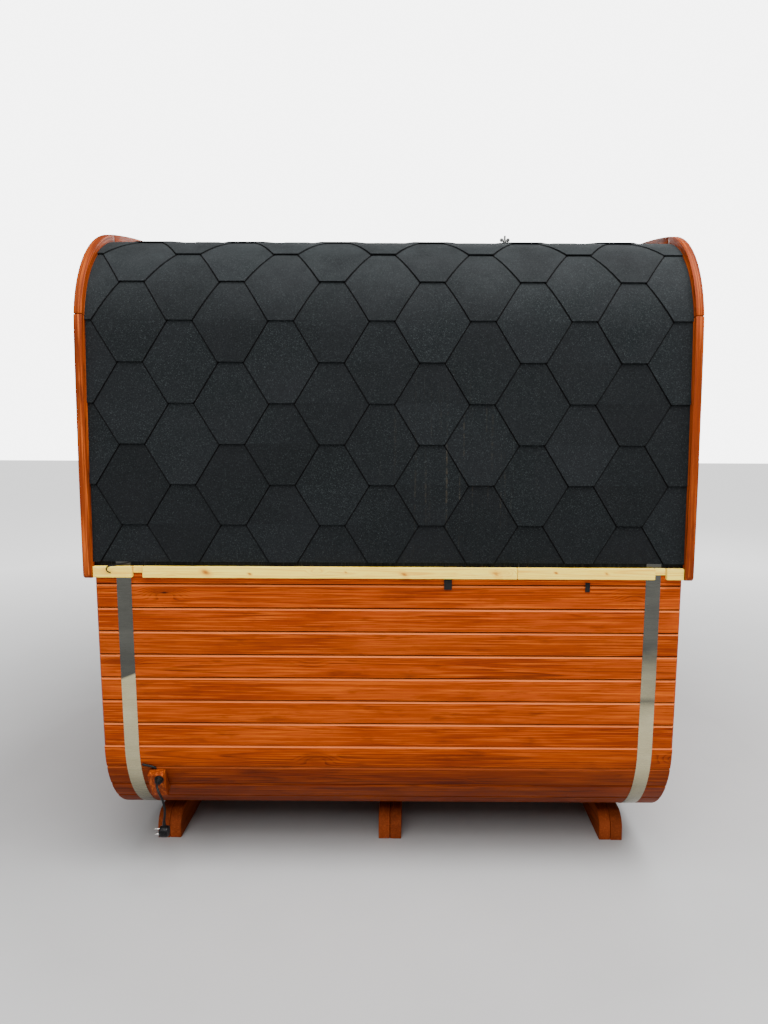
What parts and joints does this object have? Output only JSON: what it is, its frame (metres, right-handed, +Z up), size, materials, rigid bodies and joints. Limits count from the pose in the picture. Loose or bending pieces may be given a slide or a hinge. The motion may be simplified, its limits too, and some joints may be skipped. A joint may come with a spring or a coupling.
{
  "type": "square barrel sauna cabin",
  "caption": "Outdoor sauna cabin in the shape of a rounded-square barrel: horizontal staves, steel bands, hexagonal shingles over the upper half, cradle feet and a door in one end.",
  "frame": {"origin": "centre of the object on the ground, under the middle of the barrel", "axes": "+X along the barrel towards the door end, +Y towards the far long side, +Z up"},
  "size_m": [2.056, 2.3735, 2.3888],
  "materials": {
    "stained_wood": "orange-brown glaze over pine",
    "fascia_wood": "orange-brown glaze over pine",
    "foot_wood": "brown stained softwood",
    "raw_wood": "bare planed pine",
    "bitumen_shingle": "mineral granules on bitumen",
    "stainless_band": "bright rolled stainless steel",
    "zinc_steel": "zinc plated",
    "black_metal": "black powder coat",
    "black_rubber": "matt",
    "black_plastic": "matt",
    "door_glass": "clear toughened glass"
  },
  "bodies": {
    "root": {"near_wall": "stained_wood", "far_wall": "stained_wood", "ceiling": "stained_wood", "floor": "stained_wood", "upper_near_corner": "stained_wood", "upper_far_corner": "stained_wood", "lower_near_corner": "stained_wood", "lower_far_corner": "stained_wood", "back_end_wall": "stained_wood", "door_wall_near": "stained_wood", "door_wall_far": "stained_wood", "door_wall_head": "stained_wood", "door_wall_sill": "stained_wood", "door_frame": "stained_wood", "door_leaf": "stained_wood", "door_glass": "door_glass", "door_handles": "raw_wood", "door_hinges": "black_metal", "steel_band_left": "stainless_band", "steel_band_right": "stainless_band", "roof_near_slope": "bitumen_shingle", "roof_near_bend": "bitumen_shingle", "roof_top": "bitumen_shingle", "roof_far_bend": "bitumen_shingle", "roof_far_slope": "bitumen_shingle", "near_batten": "raw_wood", "far_batten": "raw_wood", "fascia_left_near_post": "fascia_wood", "fascia_left_near_bend": "fascia_wood", "fascia_left_top": "fascia_wood", "fascia_left_far_bend": "fascia_wood", "fascia_left_far_post": "fascia_wood", "fascia_right_near_post": "fascia_wood", "fascia_right_near_bend": "fascia_wood", "fascia_right_top": "fascia_wood", "fascia_right_far_bend": "fascia_wood", "fascia_right_far_post": "fascia_wood", "foot_left": "foot_wood", "foot_middle": "foot_wood", "foot_right": "foot_wood", "cable_block": "stained_wood", "cable_gland": "black_rubber", "feed_cable": "black_rubber", "power_cord": "black_rubber", "plug": "black_plastic", "eaves_wire": "black_rubber", "wall_clips": "black_plastic", "roof_bolt": "zinc_steel"}
  },
  "joints": []
}
